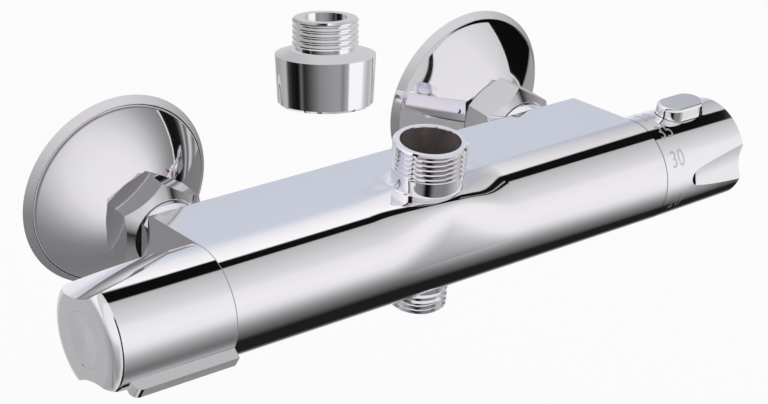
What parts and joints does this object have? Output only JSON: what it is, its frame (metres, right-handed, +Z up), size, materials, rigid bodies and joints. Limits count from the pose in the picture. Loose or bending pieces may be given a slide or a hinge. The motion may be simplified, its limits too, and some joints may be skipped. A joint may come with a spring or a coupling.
{
  "type": "thermostatic shower valve",
  "caption": "Wall-mounted thermostatic bar valve with a shelf, a flow knob, a temperature knob with a safety button, threaded outlets above and below, and eccentric wall unions.",
  "frame": {"origin": "on the wall plane, midway between the two inlets and at their height", "axes": "+X along the bar towards the temperature knob, +Y into the wall, +Z up"},
  "size_m": [0.2784, 0.1209, 0.1334],
  "materials": {
    "chrome_body": "polished chrome plate on brass",
    "chrome_knob": "polished chrome plate",
    "chrome_trim": "polished chrome plate on spun and turned brass",
    "brass": "turned, unplated",
    "copper": "drawn copper",
    "spring_steel": "bright stainless",
    "ceramic": "lapped alumina",
    "white_plastic": "moulded acetal",
    "red_plastic": "moulded",
    "blue_plastic": "moulded",
    "rubber": "matt black"
  },
  "bodies": {
    "valve": {"valve_body": "chrome_body", "hot_escutcheon": "chrome_trim", "cold_escutcheon": "chrome_trim", "hot_eccentric": "brass", "cold_eccentric": "brass", "hot_union_nut": "chrome_trim", "cold_union_nut": "chrome_trim", "hot_inlet_tail": "brass", "cold_inlet_tail": "brass", "hot_filter_washer": "rubber", "cold_filter_washer": "rubber", "hot_check_housing": "white_plastic", "cold_check_housing": "white_plastic", "hot_check_spring": "spring_steel", "cold_check_spring": "spring_steel", "hot_marker": "red_plastic", "cold_marker": "blue_plastic", "flow_stop_ring": "white_plastic", "flow_cartridge_body": "brass", "flow_fixed_disc": "ceramic", "flow_disc_seal": "rubber", "flow_retaining_nut": "brass", "flow_cartridge_oring": "rubber", "temp_stop_ring": "white_plastic", "thermo_cartridge_body": "brass", "thermo_end_cap": "white_plastic", "thermo_return_spring": "spring_steel", "thermo_retaining_nut": "brass", "thermo_orings": "rubber", "outlet_adapter": "chrome_trim", "adapter_washer": "rubber"},
    "flow_control": {"flow_knob": "chrome_knob", "flow_knob_cap": "chrome_knob", "flow_knob_screw": "spring_steel", "flow_spline_insert": "white_plastic", "flow_spindle": "brass", "flow_moving_disc": "ceramic"},
    "temp_control": {"temp_knob": "chrome_knob", "temp_knob_cap": "chrome_knob", "temp_knob_screw": "spring_steel", "temp_spline_insert": "white_plastic", "thermo_spindle": "brass", "safety_button_spring": "spring_steel"},
    "thermo_slider": {"thermo_adjuster": "brass", "thermo_overload_spring": "spring_steel", "thermo_thrust_cap": "spring_steel", "thermo_element": "copper", "thermo_shuttle": "white_plastic"},
    "button": {"safety_button": "chrome_knob"},
    "hot_poppet": {"hot_check_poppet": "white_plastic"},
    "cold_poppet": {"cold_check_poppet": "white_plastic"}
  },
  "joints": [
    {"name": "flow_turn", "type": "hinge", "parent": "valve", "child": "flow_control", "pos_m": [-0.0905, -0.077, -0.003], "axis": [1, 0, 0], "range_deg": [-90, 90]},
    {"name": "temp_turn", "type": "hinge", "parent": "valve", "child": "temp_control", "pos_m": [0.1005, -0.077, -0.003], "axis": [1, 0, 0], "range_deg": [-110, 50]},
    {"name": "thermostat_slide", "type": "slide", "parent": "valve", "child": "thermo_slider", "axis": [1, 0, 0], "range_m": [-0.00085, 0.0004], "deforming": ["thermo_return_spring"]},
    {"name": "safety_press", "type": "slide", "parent": "temp_control", "child": "button", "axis": [0, 0, -1], "range_m": [0, 0.002], "stiffness_N_per_m": 600, "springref_m": -0.004, "deforming": ["safety_button_spring"]},
    {"name": "hot_check_open", "type": "slide", "parent": "valve", "child": "hot_poppet", "axis": [0, -1, 0], "range_m": [0, 0.003], "stiffness_N_per_m": 100, "springref_m": -0.002, "deforming": ["hot_check_spring"]},
    {"name": "cold_check_open", "type": "slide", "parent": "valve", "child": "cold_poppet", "axis": [0, -1, 0], "range_m": [0, 0.003], "stiffness_N_per_m": 100, "springref_m": -0.002, "deforming": ["cold_check_spring"]}
  ],
  "couplings": [
    {"joint": "thermostat_slide", "follows": "temp_turn", "m_per_rad": 0.0004}
  ]
}
